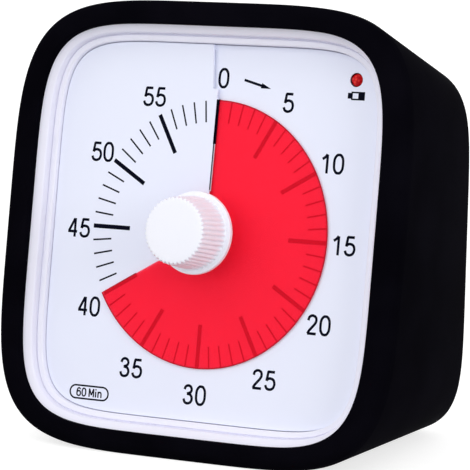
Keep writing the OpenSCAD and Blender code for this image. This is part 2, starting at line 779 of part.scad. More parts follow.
module main_pcb() {
    color("darkgreen") difference() {
        translate([-pcb_half_w, pcb_back_y - pcb_t, pcb_low_z])
            cube([2*pcb_half_w, pcb_t, pcb_high_z - pcb_low_z]);
        for (p = pcb_posts) back_post(p[0], p[1], pcb_back_y - pcb_t - cut, pcb_back_y + cut, 1);
    }
}

module pcb_screws() {
    color("silver") for (p = pcb_posts) translate([p[0], pcb_back_y - pcb_t, p[1]])
        rotate([90, 0, 0]) pan_screw(0.75, 4.2, 1.6, 1);
}

module controller_chip() {
    color("black") translate([-5, pcb_back_y - pcb_t - 1.5, 49]) cube([10, 1.5, 5]);
    color("silver") for (x = [-4.2:1.4:4.2], z = [48.2, 54]) translate([x - 0.2, pcb_back_y - pcb_t - 0.6, z])
        cube([0.4, 0.6, 0.8]);
}

module quartz_crystal() {
    color("silver") translate([10, pcb_back_y - pcb_t - 1.5, 50]) rotate([0, 90, 0])
        cylinder(h = 6, r = 1.5);
}

module buzzer() {
    color("black") difference() {
        back_post(0, buzzer_z, pcb_back_y, plate_front_y - 0.4, 6);
        back_post(0, buzzer_z, plate_front_y - 1.6, plate_front_y, 1);
    }
}

switch_h = 3;
switch_half_l = 7;

module switch_body(x, half_stem) {
    color("#2a2a2a") difference() {
        translate([x - switch_half_l, pcb_back_y, switch_z - 2.6]) cube([2*switch_half_l, switch_h, 5.2]);
        translate([x - half_stem, pcb_back_y + 0.8, switch_z - 1.4]) cube([2*half_stem, switch_h, 2.8]);
    }
}

// Slider: a foot inside the switch, a stem, and a ribbed cap in the slot of the housing
module slider(x) {
    foot_y = pcb_back_y + 1;
    color("#2a2a2a") {
        translate([x - 1.6, foot_y, switch_z - 1.1]) cube([3.2, plate_front_y + 0.3 - foot_y, 2.2]);
        difference() {
            translate([x - slider_cap_l/2, plate_front_y + 0.2, switch_z - slider_cap_h/2])
                cube([slider_cap_l, housing_wall + 0.3, slider_cap_h]);
            for (i = [-1:1]) translate([x + i*1.2 - 0.25, plate_back_y + 0.1, switch_z - 2]) cube([0.5, 1, 4]);
        }
    }
}

module volume_switch_body() { switch_body(-switch_x, volume_travel + 2); }
module volume_slider() { slider(-switch_x); }
module alarm_length_switch_body() { switch_body(switch_x + alarm_travel/2, alarm_travel/2 + 2); }
module alarm_length_slider() { slider(switch_x); }

// ---- Cells and contacts, in the world frame ----

module cell(z, side) {
    body_l = cell_l - 1.3;
    translate([-side*body_l/2, cell_y, z]) rotate([0, side*90, 0]) rotate_extrude() polygon([
        [0, 0], [cell_r - 0.4, 0], [cell_r, 0.4], [cell_r, body_l - 0.4], [cell_r - 0.4, body_l],
        [2.75, body_l], [2.75, cell_l - 0.3], [2.45, cell_l], [0, cell_l]
    ]);
}

module battery_cell_1() { color("#4c5b6b") cell(cell_low_z, 1); }
module battery_cell_2() { color("#4c5b6b") cell(cell_high_z, -1); }

// Coil of round wire along X whose radius falls towards the cell
module wire_coil(length, r_foot, r_tip, turns, wire_r) {
    steps = turns*14;
    loft([for (i = [0:steps]) let (
            s = i/steps, a = 360*turns*s, r = r_foot + (r_tip - r_foot)*s
        ) [for (k = [0:5]) let (b = 60*k, rr = r + wire_r*cos(b))
            [length*s + wire_r*sin(b), rr*cos(a), rr*sin(a)]]]);
}

spring_l = bay_half_w - 0.3 - (cell_l - 1.3)/2;

module battery_springs() {
    color("silver") for (end = [[cell_low_z, 1], [cell_high_z, -1]])
        translate([-end[1]*bay_half_w, cell_y, end[0]]) rotate([0, 0, end[1] > 0 ? 0 : 180]) {
            translate([0, -4.5, -4.5]) cube([0.4, 9, 9]);
            translate([0.6, 0, 0]) wire_coil(spring_l - 0.9, 4, 2.6, 4, 0.3);
        }
}

module battery_plates() {
    plate_x = cell_l - (cell_l - 1.3)/2;
    color("silver") for (end = [[cell_low_z, 1], [cell_high_z, -1]])
        translate([end[1]*bay_half_w, cell_y, end[0]]) rotate([0, 0, end[1] > 0 ? 180 : 0]) {
            translate([0, -4.5, -4.5]) cube([0.4, 9, 9]);
            rotate([0, 90, 0]) cylinder(h = bay_half_w - plate_x, r = 2);
        }
}

protective_sleeve();
front_housing();
rear_housing();
battery_door();
housing_screws();
dial_plate();
dial_screws();
time_disc();
disc_hub();
knob();
spindle();
low_battery_led();
movement_base();
movement_cover();
movement_screws();
center_wheel();
clutch_spring();
third_wheel();
second_wheel();
rotor();
stator();
coil_bobbin();
coil_winding();
alarm_cam();
alarm_contact();
main_pcb();
controller_chip();
quartz_crystal();
buzzer();
pcb_screws();
volume_switch_body();
volume_slider();
alarm_length_switch_body();
alarm_length_slider();
battery_cell_1();
battery_cell_2();
battery_springs();
battery_plates();
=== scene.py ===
import json
import math

import bmesh
import bpy
from mathutils import Matrix, Vector


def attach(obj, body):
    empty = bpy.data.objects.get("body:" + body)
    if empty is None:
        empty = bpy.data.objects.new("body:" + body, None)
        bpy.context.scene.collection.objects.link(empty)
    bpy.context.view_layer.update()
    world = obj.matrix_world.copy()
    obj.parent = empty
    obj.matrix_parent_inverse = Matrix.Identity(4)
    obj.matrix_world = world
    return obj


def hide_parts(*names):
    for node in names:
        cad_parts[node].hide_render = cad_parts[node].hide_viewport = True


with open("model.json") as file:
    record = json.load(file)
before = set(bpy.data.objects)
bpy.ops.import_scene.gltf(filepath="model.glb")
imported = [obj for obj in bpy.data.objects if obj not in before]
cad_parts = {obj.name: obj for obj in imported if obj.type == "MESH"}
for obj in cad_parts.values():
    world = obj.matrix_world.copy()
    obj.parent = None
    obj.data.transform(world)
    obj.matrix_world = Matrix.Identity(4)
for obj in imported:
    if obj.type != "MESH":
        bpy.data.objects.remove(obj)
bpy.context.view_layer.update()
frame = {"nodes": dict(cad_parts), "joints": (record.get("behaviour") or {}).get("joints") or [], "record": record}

# ---- Protective sleeve ----
# A one-piece silicone cover, moulded in black and pulled over the case from the front. Its lip
# holds the bezel and a narrow flange grips the open back. The moulds leave it evenly matte, with
# a fine grain and a soft radius round every edge.

MM = 0.001
case_half_w = 44 * MM
case_top = 44.9 * MM
case_bottom = 44.1 * MM
case_depth = 40 * MM
side_draft = math.radians(8.2)
top_draft = math.radians(12)
sleeve_wall = 1.8 * MM
rim_front = 5.6 * MM            # front of the lip, before the dial
rim_round = 3 * MM
rim_slope = 0.27                # how far the rim leans in at once, in front of the seam
back_round = 4 * MM
back_flange = 5 * MM
seam_z = rim_front - rim_round  # the case is widest here
lip_back = rim_front - sleeve_wall
case_squareness = 4.65
back_squareness = 6.4
outline_steps = 256

# The face frame has X to the right, Y up the dial and Z out along the knob's axis
knob_turn = next(j for j in frame["joints"] if j["name"] == "knob_turn")
dial_centre = Vector(knob_turn["pos_m"])
outwards = -Vector(knob_turn["axis"])
face_lean = math.asin(outwards.z)
face_frame = Matrix.Translation(dial_centre) @ Matrix.Rotation(math.pi/2 - face_lean, 4, "X")


def signed_pow(value, power):
    return math.copysign(abs(value)**power, value)


def squircle(half_w, top, bottom, squareness, z):
    """Rounded square in the face frame, one point for each outline step."""
    ring = []
    for step in range(outline_steps):
        turn = 2*math.pi*step/outline_steps
        ring.append(Vector((
            half_w*signed_pow(math.cos(turn), 2/squareness),
            (top - bottom)/2 + (top + bottom)/2*signed_pow(math.sin(turn), 2/squareness), z)))
    return ring


def wall_ring(inset, height, tilt=0.0):
    """Where the tapered case wall, drawn in by inset, meets the plane z = height + y tan(tilt)."""
    lean, run = math.tan(face_lean), seam_z + case_depth
    front = squircle(case_half_w - inset, case_top - inset, case_bottom - inset,
                     case_squareness, seam_z)
    top = (case_top - run*math.tan(top_draft) - inset)/(1 - lean*math.tan(top_draft))
    bottom = (run*lean - case_bottom + inset)/(1 + lean*lean)
    slope = math.tan(tilt)
    ring = []
    for step, start in enumerate(front):
        turn = 2*math.pi*step/outline_steps
        y = (top + bottom)/2 + (top - bottom)/2*signed_pow(math.sin(turn), 2/back_squareness)
        z = y*lean - case_depth
        half_w = case_half_w - (seam_z - z)*math.tan(side_draft) - inset
        end = Vector((half_w*signed_pow(math.cos(turn), 2/back_squareness), y, z))
        near, far = start.z - slope*start.y, end.z - slope*end.y
        ring.append(start.lerp(end, (height - near)/(far - near)))
    return ring


def back_ring(inset, forward):
    """Outline in a plane that stands upright, forward of the back of the sleeve."""
    return wall_ring(inset, forward - case_depth, face_lean)


def pick(piece):
    """Makes one piece the active one and the only one selected."""
    bpy.ops.object.select_all(action="DESELECT")
    bpy.context.view_layer.objects.active = piece
    piece.select_set(True)


def edit(piece):
    """Opens one piece for editing with all of it selected."""
    pick(piece)
    bpy.ops.object.mode_set(mode="EDIT")
    bpy.ops.mesh.select_mode(type="VERT")
    bpy.ops.mesh.select_all(action="SELECT")


def lofted(name, rings, capped=False):
    """A circle extruded from section to section, with capped ends or the last joined to the first."""
    bpy.ops.object.select_all(action="DESELECT")
    bpy.ops.mesh.primitive_circle_add(vertices=len(rings[0]), radius=case_half_w)
    piece = bpy.context.object
    piece.name = piece.data.name = name
    bpy.ops.object.mode_set(mode="EDIT")
    mesh = bmesh.from_edit_mesh(piece.data)
    step = mesh.verts.layers.int.new("step")
    for place, vert in enumerate(mesh.verts):
        vert[step] = place
    for number, ring in enumerate(rings):
        if number:
            bpy.ops.mesh.extrude_region()
        mesh = bmesh.from_edit_mesh(piece.data)
        step = mesh.verts.layers.int["step"]
        for vert in mesh.verts:
            if vert.select:
                vert.co = ring[vert[step]]
        bmesh.update_edit_mesh(piece.data)
    bpy.ops.mesh.select_mode(type="EDGE")
    bpy.ops.mesh.select_all(action="DESELECT")
    for edge in bmesh.from_edit_mesh(piece.data).edges:
        edge.select = edge.is_boundary
    bmesh.update_edit_mesh(piece.data)
    if capped:
        bpy.ops.mesh.edge_face_add()
    else:
        bpy.ops.mesh.bridge_edge_loops()
    bpy.ops.mesh.select_all(action="SELECT")
    bpy.ops.mesh.normals_make_consistent(inside=False)
    bpy.ops.object.mode_set(mode="OBJECT")
    return piece


def smooth(piece, degrees):
    """Smooth shading that keeps edges sharper than the angle."""
    pick(piece)
    bpy.ops.object.shade_smooth_by_angle(angle=math.radians(degrees))


def arc(first, last, count):
    """Angles in radians from first to last degrees."""
    return [math.radians(first + (last - first)*i/count) for i in range(count + 1)]


def new_material(name, colour, roughness, specular=0.5, metallic=0.0):
    """Principled material whose plain values sit on the shader's own sockets."""
    material = bpy.data.materials.new(name)
    material.use_nodes = True
    shader = material.node_tree.nodes["Principled BSDF"]
    shader.inputs["Base Color"].default_value = (*colour, 1)
    shader.inputs["Roughness"].default_value = roughness
    shader.inputs["Specular IOR Level"].default_value = specular
    shader.inputs["Metallic"].default_value = metallic
    return material, shader


def pattern(material, kind, scale, stretch=(1, 1, 1), **settings):
    """Noise or Voronoi texture on Object coordinates, scale in features per metre."""
    nodes, links = material.node_tree.nodes, material.node_tree.links
    place = nodes.new("ShaderNodeMapping")
    place.inputs["Scale"].default_value = stretch
    texture = nodes.new(kind)
    texture.inputs["Scale"].default_value = scale
    for socket, value in settings.items():
        texture.inputs[socket].default_value = value
    links.new(nodes.new("ShaderNodeTexCoord").outputs["Object"], place.inputs["Vector"])
    links.new(place.outputs["Vector"], texture.inputs["Vector"])
    return texture


def graded(material, value, low, high, low_out, high_out):
    """Maps a value from low..high to low_out..high_out."""
    grade = material.node_tree.nodes.new("ShaderNodeMapRange")
    grade.inputs["From Min"].default_value = low
    grade.inputs["From Max"].default_value = high
    grade.inputs["To Min"].default_value = low_out
    grade.inputs["To Max"].default_value = high_out
    material.node_tree.links.new(value, grade.inputs["Value"])
    return grade.outputs["Result"]


def tinted(material, shader, value, dark, light):
    """Base colour that runs from dark to light with a value of 0 to 1."""
    mix = material.node_tree.nodes.new("ShaderNodeMix")
    mix.data_type = "RGBA"
    mix.inputs["A"].default_value = (*dark, 1)
    mix.inputs["B"].default_value = (*light, 1)
    material.node_tree.links.new(value, mix.inputs["Factor"])
    material.node_tree.links.new(mix.outputs["Result"], shader.inputs["Base Color"])


def raised(material, shader, height, strength, depth):
    """Relief from a texture's value, depth in metres."""
    bump = material.node_tree.nodes.new("ShaderNodeBump")
    bump.inputs["Strength"].default_value = strength
    bump.inputs["Distance"].default_value = depth
    material.node_tree.links.new(height, bump.inputs["Height"])
    material.node_tree.links.new(bump.outputs["Normal"], shader.inputs["Normal"])


def clouded(material, shader, scale, dark, light, detail=2, low=0.3, high=0.7):
    """A faint cloud between two shades of the colour."""
    cloud = pattern(material, "ShaderNodeTexNoise", scale, Detail=detail)
    tinted(material, shader, graded(material, cloud.outputs["Fac"], low, high, 0, 1), dark, light)


def grained(material, shader, scale, shiny, dull, strength, depth, detail=2):
    """The grain of a mould, in the gloss between two roughnesses and as relief."""
    grain = pattern(material, "ShaderNodeTexNoise", scale, Detail=detail)
    gloss = graded(material, grain.outputs["Fac"], 0.3, 0.7, shiny, dull)
    material.node_tree.links.new(gloss, shader.inputs["Roughness"])
    raised(material, shader, grain.outputs["Fac"], strength, depth)


def dress(piece, material):
    piece.data.materials.clear()
    piece.data.materials.append(material)


silicone, silicone_shader = new_material("black silicone", (0.0025, 0.0022, 0.0038),
                                         roughness=0.6, specular=0.001)
clouded(silicone, silicone_shader, scale=60, dark=(0.0018, 0.0016, 0.003), light=(0.0031, 0.0028, 0.005),
        detail=3, low=0.35, high=0.65)
grained(silicone, silicone_shader, scale=5200, shiny=0.5, dull=0.62, strength=0.25, depth=0.03 * MM)

window_half_w = 35.4 * MM
window_top = 37.05 * MM
window_bottom = 36.55 * MM
window_squareness = 6.7
bezel_w = 3.2 * MM              # from the window to the lip, at the sides
bezel_top_w = bezel_w - 0.1 * MM
bezel_bottom_w = bezel_w - 0.2 * MM
lip_squareness = 5.46
lip_round = 0.45 * MM
flange_round = 0.6 * MM


def lip_ring(share, z):
    """Outline between the dial window (share 0) and the sleeve's lip (share 1)."""
    return squircle(window_half_w + share*bezel_w, window_top + share*bezel_top_w,
                    window_bottom + share*bezel_bottom_w,
                    window_squareness + share*(lip_squareness - window_squareness), z)


sleeve_rings = [back_ring(back_flange, sleeve_wall)]
sleeve_rings += [back_ring(back_flange - flange_round*(1 - math.cos(a)), flange_round*(1 - math.sin(a)))
                 for a in arc(0, 90, 6)]
sleeve_rings += [back_ring(back_round*(1 - math.cos(a)), back_round*(1 - math.sin(a)))
                 for a in arc(90, 0, 12)]
sleeve_rings += [wall_ring(rim_round*max(1 - math.cos(a), rim_slope*math.sin(a)),
                           seam_z + rim_round*math.sin(a)) for a in arc(0, 90, 14)]
lip_step = lip_round/bezel_w
sleeve_rings += [lip_ring(1 + lip_step*(1 - math.sin(a)), rim_front - lip_round*(1 - math.cos(a)))
                 for a in arc(0, 90, 6)]
sleeve_rings += [lip_ring(1, lip_back), wall_ring(sleeve_wall, lip_back)]

sleeve = lofted("silicone_sleeve", sleeve_rings)
sleeve.data.transform(face_frame)
edit(sleeve)                    # and cut flat where it stands
bpy.ops.mesh.bisect(plane_co=(0, 0, 0), plane_no=(0, 0, -1), use_fill=True, clear_outer=True,
                    threshold=1e-7)
bpy.ops.object.mode_set(mode="OBJECT")
smooth(sleeve, degrees=28)
dress(sleeve, silicone)
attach(sleeve, "case")
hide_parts("protective_sleeve")

# ---- Front housing ----
# The front half of the case, injection moulded in white ABS. Round the dial window it has a flat
# ledge and a fine groove, then a step up to a sloped band that meets the sleeve's lip.

housing_wall = 1.8 * MM
cavity_inset = sleeve_wall + housing_wall
split_z = -20 * MM
seat_z = -2 * MM
shell_fit = 0.02 * MM           # gap to the sleeve's wall
shoulder_round = 1 * MM         # the edge that the sleeve's lip hides

abs_white, abs_shader = new_material("white moulded ABS", (0.83, 0.83, 0.94),
                                     roughness=0.38, specular=0.3)
clouded(abs_white, abs_shader, scale=45, dark=(0.82, 0.82, 0.93), light=(0.84, 0.84, 0.95))
grained(abs_white, abs_shader, scale=3800, shiny=0.33, dull=0.45, strength=0.12, depth=0.02 * MM, detail=3)

bezel_profile = [               # share of the bezel's width, and height in mm
    (1.12, 3.8), (1.0, 3.72), (0.8, 3.4), (0.6, 3.06), (0.54, 2.92), (0.51, 2.75), (0.5, 2.5), (0.49, 1.7),
    (0.475, 1.25), (0.455, 1.14), (0.435, 1.14), (0.415, 1.25), (0.39, 1.42), (0.36, 1.5), (0.09, 1.5),
    (0.045, 1.46), (0.012, 1.36), (0, 1.2),
]
bezel_rings = [
    wall_ring(cavity_inset, split_z), wall_ring(sleeve_wall + shell_fit, split_z),
    wall_ring(sleeve_wall + shell_fit, lip_back - shoulder_round),
    wall_ring(sleeve_wall + 0.3*shoulder_round, lip_back - 0.3*shoulder_round),
    wall_ring(sleeve_wall + shoulder_round, lip_back),
]
bezel_rings += [lip_ring(share, height * MM) for share, height in bezel_profile]
bezel_rings += [lip_ring(0, seat_z), wall_ring(cavity_inset, seat_z)]
bezel = lofted("front_case", bezel_rings)
bezel.data.transform(face_frame)
smooth(bezel, degrees=40)
dress(bezel, abs_white)
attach(bezel, "case")
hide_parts("front_housing")

# ---- Dial ----
# A thin white styrene plate that climbs like one turn of a screw, so that the disc can dive under
# it at twelve o'clock. The slit runs out to a closed step, and a skirt and flange hold it in place.

slit_rise = 1 * MM
dial_t = 0.3 * MM
low_top = -slit_rise/2 + dial_t/2       # the dial's face just after twelve o'clock
high_top = low_top + slit_rise          # and just before it
slit_r = 26.6 * MM              # outer end of the open slit
step_r = 28.3 * MM              # the closed step stands further left beyond this
step_x = 1.3 * MM
step_slant = 0.074              # and leans to the left
slit_w = 0.16 * MM
slit_slant = -0.008             # the slit widens towards the middle
slit_end_w = 0.24 * MM
slit_end_slant = -0.06          # and does so again between slit_r and step_r
dial_hole_r = 5.5 * MM
dial_soft = 0.12 * MM           # radius of its outer edge
dial_fit = 0.12 * MM            # gap to the window
skirt_t = 1 * MM
flange_back_z = seat_z - 1.2 * MM
flange_grow = 2.9 * MM
flange_squareness = 5.1
dial_steps = 240
led_x = 29.3 * MM
led_y = 31.35 * MM
led_r = 1.28 * MM
led_hole_r = led_r + 0.08 * MM
led_hole_low, led_hole_high = -5 * MM, 3 * MM


def clockwise(x, y):
    """Angle from twelve o'clock as a share of a turn."""
    return (math.atan2(x, y)/(2*math.pi)) % 1


def dial_top(x, y):
    """Height of the dial's face at a point."""
    if -step_x - step_slant*(y - step_r) < x <= 0 and y > step_r:
        return low_top
    return low_top + slit_rise*clockwise(x, y)


def dial_edge(turn, grow=0.0, squareness=window_squareness):
    """Distance from the axis to the dial's rounded square outline, grown outwards."""
    s, c = math.sin(2*math.pi*turn), math.cos(2*math.pi*turn)
    high = window_top if c > 0 else window_bottom
    reach = (abs(s)/(window_half_w - dial_fit + grow))**squareness
    reach += (abs(c)/(high - dial_fit + grow))**squareness
    return reach**(-1/squareness)


def swept(name, section, first, last, steps):
    """Sheet whose section, [radius, height] points for each share of a turn, goes clockwise."""
    rings = []
    for i in range(steps + 1):
        turn = first + (last - first)*i/steps
        s, c = math.sin(2*math.pi*turn), math.cos(2*math.pi*turn)
        rings.append([Vector((r*s, r*c, z)) for r, z in section(turn)])
    return lofted(name, rings, capped=True)


def dial_section(turn):
    """Sheet, rounded edge, skirt and flange at a share of a turn."""
    edge, flange = dial_edge(turn), dial_edge(turn, flange_grow, flange_squareness)
    top = low_top + slit_rise*turn
    return [
        (dial_hole_r, top), (step_r, top), (edge - dial_soft, top),
        (edge - 0.3*dial_soft, top - 0.3*dial_soft), (edge, top - dial_soft), (edge, seat_z),
        (flange, seat_z), (flange, flange_back_z), (edge - skirt_t, flange_back_z),
        (edge - skirt_t, top - dial_t), (step_r, top - dial_t), (dial_hole_r, top - dial_t),
    ]


def block(low, high):
    """Box between two corners, in the face frame."""
    bpy.ops.object.select_all(action="DESELECT")
    bpy.ops.mesh.primitive_cube_add(size=1)
    piece = bpy.context.object
    size, middle = Vector(high) - Vector(low), (Vector(high) + Vector(low))/2
    piece.data.transform(Matrix.Translation(middle) @ Matrix.Diagonal((*size, 1)))
    return piece


def combine(piece, tool, operation):
    """Joins the tool to the piece or cuts it away, and uses the tool up."""
    bpy.context.view_layer.objects.active = piece
    boolean = piece.modifiers.new("combine", "BOOLEAN")
    boolean.operation = operation
    boolean.object = tool
    boolean.solver = "EXACT"
    bpy.ops.object.modifier_apply(modifier=boolean.name)
    bpy.data.objects.remove(tool)


def slanted(low, high, slope, from_y, right_too=True):
    """Block that leans to the left of the line through from_y, or only its left side does."""
    piece = block(low, high)
    for vert in piece.data.vertices:
        if right_too or vert.co.x < (low[0] + high[0])/2:
            vert.co.x -= slope*(vert.co.y - from_y)
    return piece


slit_turn = slit_w/(2*math.pi*slit_r)
dial = swept("dial", dial_section, 0, 1 - slit_turn, dial_steps)

hair = 0.01 * MM                # keeps a cut's faces off the sheet's own
cut_past = 1 * MM               # how far the cuts go past the sheet
cut_floor = high_top - dial_t - 0.1 * MM
cut_right = 0.3 * MM
cut_lap = 0.2 * MM              # how far the last cut runs back into the slit
step_end = window_top - dial_fit - 2*hair
step_cut = slanted((-step_x, step_r, low_top + hair), (2*hair, step_end + cut_past, high_top + cut_past),
                   step_slant, step_r, right_too=False)
combine(dial, step_cut, "DIFFERENCE")
slit_cut = slanted((-slit_w, dial_hole_r - cut_past, cut_floor),
                   (cut_right, slit_r, high_top + cut_past), slit_slant, slit_r, right_too=False)
combine(dial, slit_cut, "DIFFERENCE")
slit_end_cut = slanted((-slit_end_w, slit_r - cut_lap, cut_floor),
                       (cut_right, step_r + hair, high_top + cut_past),
                       slit_end_slant, step_r, right_too=False)
combine(dial, slit_end_cut, "DIFFERENCE")
dial_blocks = (                 # two corners in mm, lean and from where, and whether both sides lean
    ((-1.15, 26.4, -0.62), (-0.7, 28.28, 0.62), 0, 26.6, True),                 # wall past the slit
    ((-0.8, 26.41, 0.08), (-0.26, 28.27, 0.6), slit_end_slant, 28.3, True),     # over a shadow gap
    ((-1.1, 26.42, -0.6), (0.3, 28.3, -0.354), 0, 26.6, True),                  # its floor
    ((-2.4, 27.9, -0.8), (0.3, 36.88, -0.352), step_slant, 28.3, False),        # floor of the step
    ((-2.35, 27.95, -0.7), (-1.9, 36.86, 0.6), step_slant, 28.3, True),         # wall of the step
    ((-2, 28, 0.06), (-1.32, 36.84, 0.61), step_slant, 28.3, True),             # over a shadow gap
    ((-0.8, 8.4, 0.17), (-0.35, 26.6, 0.37), slit_slant, 26.6, True),           # rib by the slit
    ((-0.75, 8.4, 0.15), (-0.01, 26.6, 0.18), slit_slant, 26.6, True),          # flange at its foot
    ((-0.1, 8.4, 0.17), (0, 26.6, 0.26), slit_slant, 26.6, True),               # bead on the flange
)
for low_corner, high_corner, lean, lean_from, both_sides in dial_blocks:
    added = slanted(Vector(low_corner) * MM, Vector(high_corner) * MM, lean, lean_from * MM, both_sides)
    combine(dial, added, "UNION")
bpy.ops.object.select_all(action="DESELECT")
bpy.ops.mesh.primitive_cylinder_add(vertices=64, radius=led_hole_r, depth=led_hole_high - led_hole_low)
led_hole = bpy.context.object
led_hole.data.transform(Matrix.Translation((led_x, led_y, (led_hole_low + led_hole_high)/2)))
combine(dial, led_hole, "DIFFERENCE")
dial.data.transform(face_frame)
smooth(dial, degrees=20)

dial_white, dial_shader = new_material("white styrene sheet", (0.80, 0.83, 0.97),
                                       roughness=0.42, specular=0.3)
clouded(dial_white, dial_shader, scale=30, dark=(0.79, 0.82, 0.965), light=(0.81, 0.84, 0.975))
grained(dial_white, dial_shader, scale=5000, shiny=0.38, dull=0.5, strength=0.08, depth=0.015 * MM)
dress(dial, dial_white)
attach(dial, "case")
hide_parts("dial_plate")

# ---- Print on the dial ----
# Black screen print: sixty marks, twelve numerals, an arrow for the way to turn, a battery mark under the lamp and
# the range in a pill. The ink lies on the sheet as a film of its own. A fine ink line along the slit's raised edge
# is painted shade.

ink_up = 0.014 * MM             # top of the ink over the sheet
ink_in = 0.01 * MM              # how far it reaches into the sheet
mark_outer_r = 26 * MM
disc_r = 26.2 * MM
scale_stretch = 1.024           # the ring of marks is drawn a little taller than wide
minute_inner_r = 21.8 * MM
minute_w = 0.33 * MM
five_inner_r = 17.6 * MM
five_w = 0.85 * MM
numeral_h = 3.85 * MM
numeral_line = 0.137            # stroke of the numerals as a share of their height
digit_pitch = 0.715             # from figure to figure, in the same shares
small_h = 1.66 * MM
small_line = 0.175
small_text = (("6", 0), ("0", 0.72), ("M", 1.72), ("i", 2.62), ("n", 2.96))  # and where each starts
digit_lines = {                 # strokes of each letter, and whether each is curved
    "0": [(True, [(0.495, 0.5), (0.47, 0.76), (0.36, 0.925), (0.2475, 0.953), (0.135, 0.925),
                  (0.025, 0.76), (0, 0.5), (0.025, 0.24), (0.135, 0.075), (0.2475, 0.047),
                  (0.36, 0.075), (0.47, 0.24), (0.495, 0.5)])],
    "1": [(False, [(0.325, 0), (0.325, 0.94)]),
          (True, [(0.31, 0.955), (0.25, 0.86), (0.16, 0.775), (0.05, 0.71)])],
    "2": [(True, [(0.02, 0.70), (0.07, 0.87), (0.245, 0.95), (0.42, 0.87), (0.46, 0.70),
                  (0.39, 0.54), (0.22, 0.34), (0.08, 0.17), (0.03, 0.05)]),
          (False, [(0, 0.0525), (0.49, 0.0525)])],
    "3": [(True, [(0.02, 0.745), (0.08, 0.89), (0.225, 0.95), (0.37, 0.895), (0.43, 0.745),
                  (0.36, 0.605), (0.17, 0.535)]),
          (True, [(0.17, 0.535), (0.38, 0.485), (0.47, 0.30), (0.40, 0.115), (0.235, 0.05),
                  (0.075, 0.10), (0, 0.27)])],
    "4": [(False, [(0.375, 0), (0.375, 0.965)]), (False, [(0.34, 0.94), (0.02, 0.30)]),
          (False, [(-0.035, 0.28), (0.51, 0.28)])],
    "5": [(False, [(0.09, 0.93), (0.485, 0.93)]), (False, [(0.125, 0.95), (0.05, 0.47)]),
          (True, [(0.045, 0.49), (0.14, 0.575), (0.27, 0.60), (0.44, 0.53), (0.505, 0.33),
                  (0.43, 0.125), (0.245, 0.05), (0.075, 0.105), (0, 0.26)])],
    "6": [(True, [(0.44, 0.80), (0.36, 0.92), (0.24, 0.953), (0.1, 0.87), (0.02, 0.66), (0, 0.4)]),
          (True, [(0.49, 0.32), (0.43, 0.53), (0.245, 0.61), (0.06, 0.53), (0, 0.32), (0.06, 0.11),
                  (0.245, 0.047), (0.43, 0.11), (0.49, 0.32)])],
    "M": [(False, [(0, 0), (0, 1)]), (False, [(0.02, 0.97), (0.3, 0.22)]),
          (False, [(0.58, 0.97), (0.3, 0.22)]), (False, [(0.6, 0), (0.6, 1)])],
    "i": [(False, [(0, 0), (0, 0.7)]), (False, [(0, 0.84), (0, 1)])],
    "n": [(False, [(0, 0), (0, 0.72)]),
          (True, [(0, 0.44), (0.09, 0.62), (0.22, 0.66), (0.36, 0.6), (0.42, 0.42)]),
          (False, [(0.42, 0.45), (0.42, 0)])],
}
numerals = {                    # minutes: mm right of and above the dial's centre
    0: (0.36, 30.5), 5: (15.1, 26.35), 10: (25.8, 15.2), 15: (29.7, -0.2), 20: (25.75, -15.6),
    25: (15.0, -27.0), 30: (0, -31.3), 35: (-14.75, -27.3), 40: (-25.55, -16.0), 45: (-29.35, -0.63),
    50: (-25.3, 14.75), 55: (-14.35, 26.15),
}
edge_marks_and_shade_end = disc_r + 0.05 * MM
edge_marks_and_shade_line = (                  # left, inner end and low, right and high side in mm
    (-0.24, 17.6, 0.64, -0.146, 0.664),     # the mark at zero on the raised edge,
    (-0.17, 17.6, 0.27, -0.146, 0.66),      # down the wall of the slit
    (-0.17, 17.6, 0.14, 0.134, 0.274),      # and on the bead
    (-0.17, 8.6, 0.3, -0.146, 0.655),       # painted shade: a fine ink line on the raised edge's face, for the shadow there, runs on to the middle
)
arrow_from = Vector((5.0 * MM, 30.35 * MM))
arrow_to = Vector((10.8 * MM, 28.9 * MM))
arrow_w = 0.5 * MM
arrow_head_w = 1.15 * MM
arrow_head_l = 2.1 * MM
arrow_head_under = 1.5 * MM     # the shaft ends this far before the point
arrow_head_at = 0.16            # middle of the head, as a share of the way back
arrow_tip_share = 0.06          # widths at the tip and the foot of the head
arrow_foot_share = 0.9
battery_x = 29.4 * MM
battery_y = 28.3 * MM
battery_bars = (                # right and up of its middle, width and height in mm
    (1.27, 0, 1.4, 1.62), (0, 0.66, 1.82, 0.3), (0, -0.66, 1.82, 0.3), (-0.78, 0, 0.3, 1.62),
    (-1.25, 0, 0.82, 1.1),
)
pill_x = -23.9 * MM
pill_y = -33.05 * MM
pill_w = 9.15 * MM
pill_h = 2.9 * MM
pill_line = 0.33 * MM
flat_t = 1 * MM                 # flat print pieces reach this far up and down until they are inked


def inked(piece, x, y, turn=0.0):
    """Moves a flat print piece to its place and lays it on the climbing dial."""
    piece.data.transform(Matrix.Translation((x, y, 0)) @ Matrix.Rotation(-turn, 4, "Z"))
    for vert in piece.data.vertices:
        film = ink_up if vert.co.z > 0 else -ink_in
        vert.co.z = dial_top(vert.co.x, vert.co.y) + film
    return piece


def bar(width, length):
    """Flat upright bar about the origin."""
    return block((-width/2, -length/2, -flat_t), (width/2, length/2, flat_t))


def rounded(points, closed):
    """Points of a smooth curve through the given ones, five to each span."""
    line, count = [], len(points)
    for i in range(count if closed else count - 1):
        near = [i + k for k in (-1, 0, 1, 2)]
        a, b, c, d = (points[k % count if closed else min(max(k, 0), count - 1)] for k in near)
        for t in (0, 0.2, 0.4, 0.6, 0.8):
            line.append(0.5*(2*b + (c - a)*t + (2*a - 5*b + 4*c - d)*t*t + (3*b - a - 3*c + d)*t**3))
    return line if closed else line + [points[-1]]


